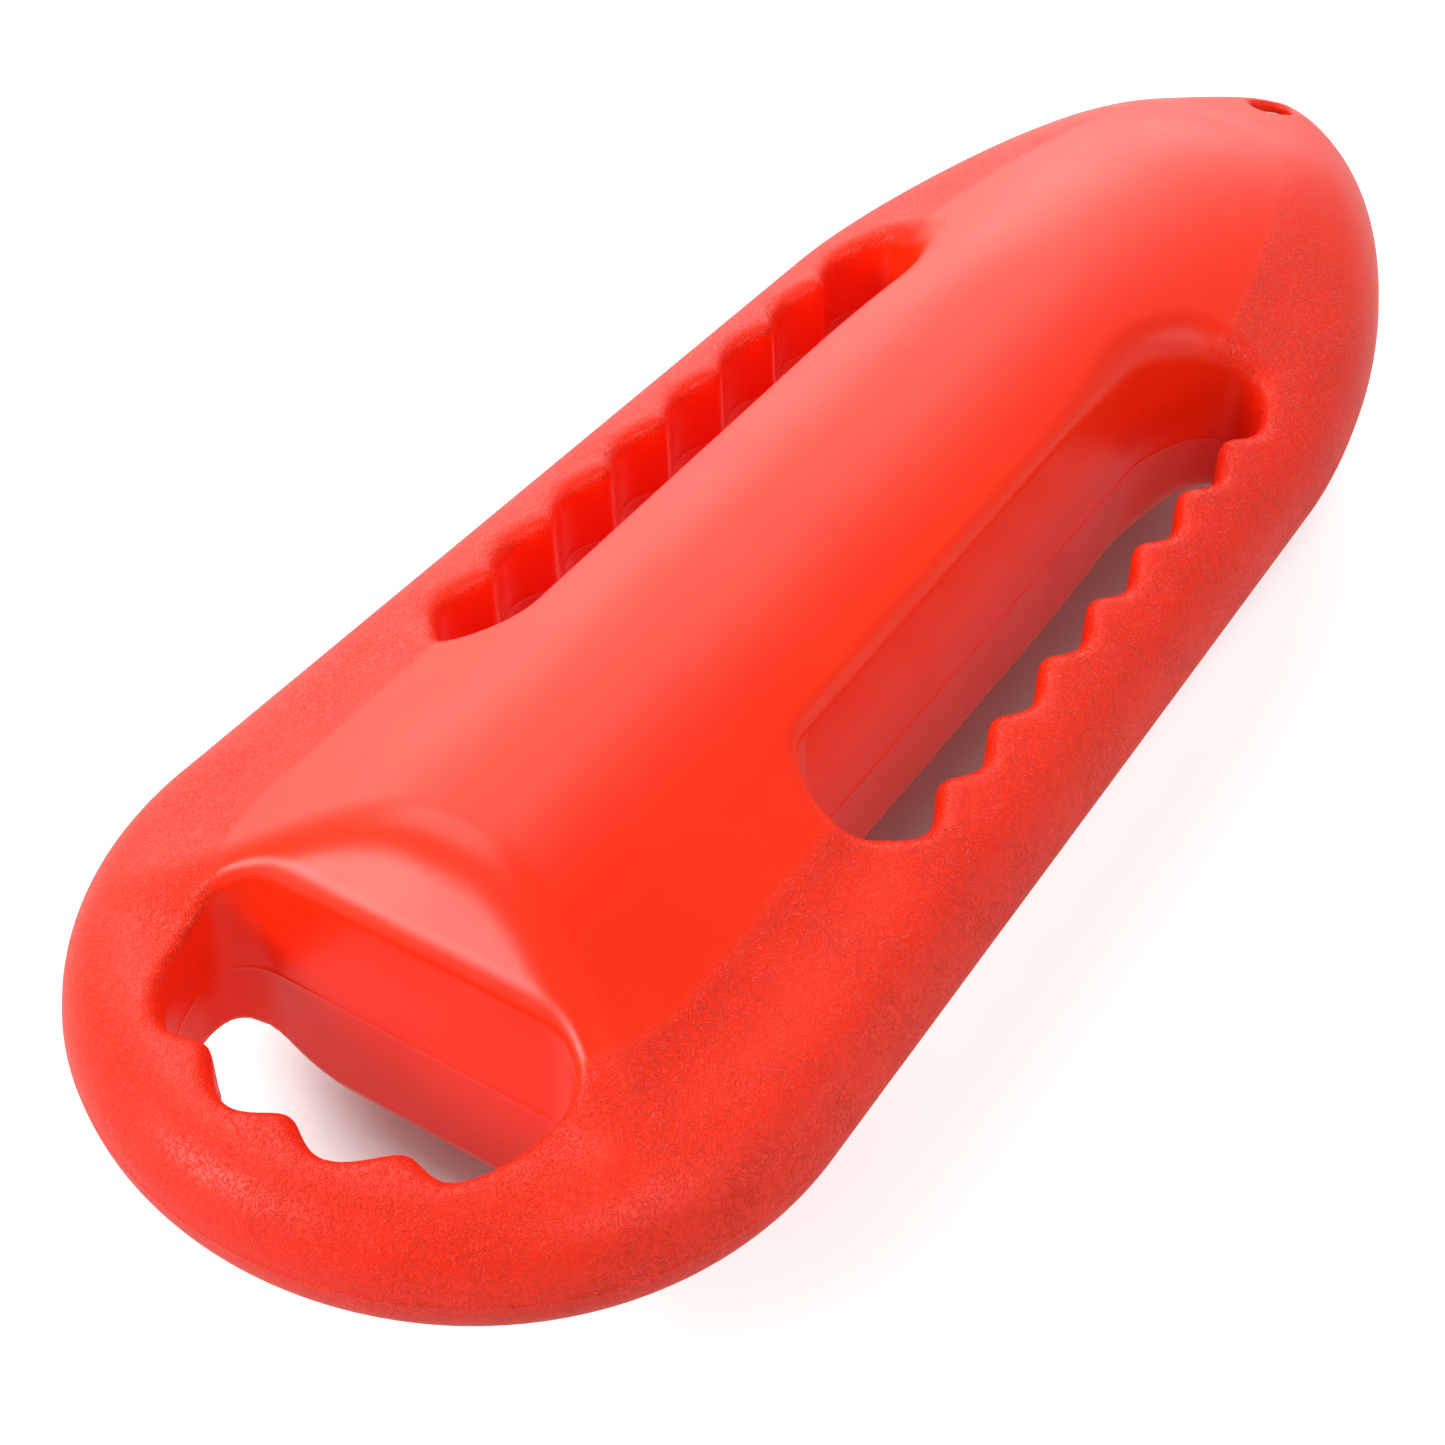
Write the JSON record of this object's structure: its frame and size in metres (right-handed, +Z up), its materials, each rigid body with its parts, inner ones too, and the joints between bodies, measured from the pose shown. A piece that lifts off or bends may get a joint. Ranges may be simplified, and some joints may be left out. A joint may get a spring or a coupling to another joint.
{
  "type": "lifeguard rescue can",
  "caption": "Hollow torpedo-shaped rescue float with scalloped hand grips along both sides and at the tail, a screwed vent plug underneath and a lined tow eye in the nose.",
  "frame": {"origin": "centre of the float's bounding box, on the floor it stands on", "axes": "+X toward the nose along the float, +Y to its left, +Z up through the crown"},
  "size_m": [0.7107, 0.264, 0.1403],
  "materials": {
    "hull_hdpe": "satin, leather grain on the rim",
    "liner_nylon": "satin",
    "plug_plastic": "satin",
    "seal_rubber": "matte"
  },
  "bodies": {
    "float": {"hull_shell": "hull_hdpe", "tow_eye_liner": "liner_nylon"},
    "seal": {"vent_plug_seal": "seal_rubber"},
    "plug": {"vent_plug": "plug_plastic"}
  },
  "joints": [
    {"name": "plug_travel", "type": "slide", "parent": "float", "child": "seal", "axis": [0, 0, -1], "range_m": [0, 0.0101]},
    {"name": "plug_turn", "type": "hinge", "parent": "seal", "child": "plug", "pos_m": [-0.1055, 0, 0.0056], "axis": [0, 0, -1], "range_deg": [0, 1440]}
  ],
  "couplings": [
    {"joint": "plug_travel", "follows": "plug_turn", "m_per_rad": 0.00039789}
  ]
}
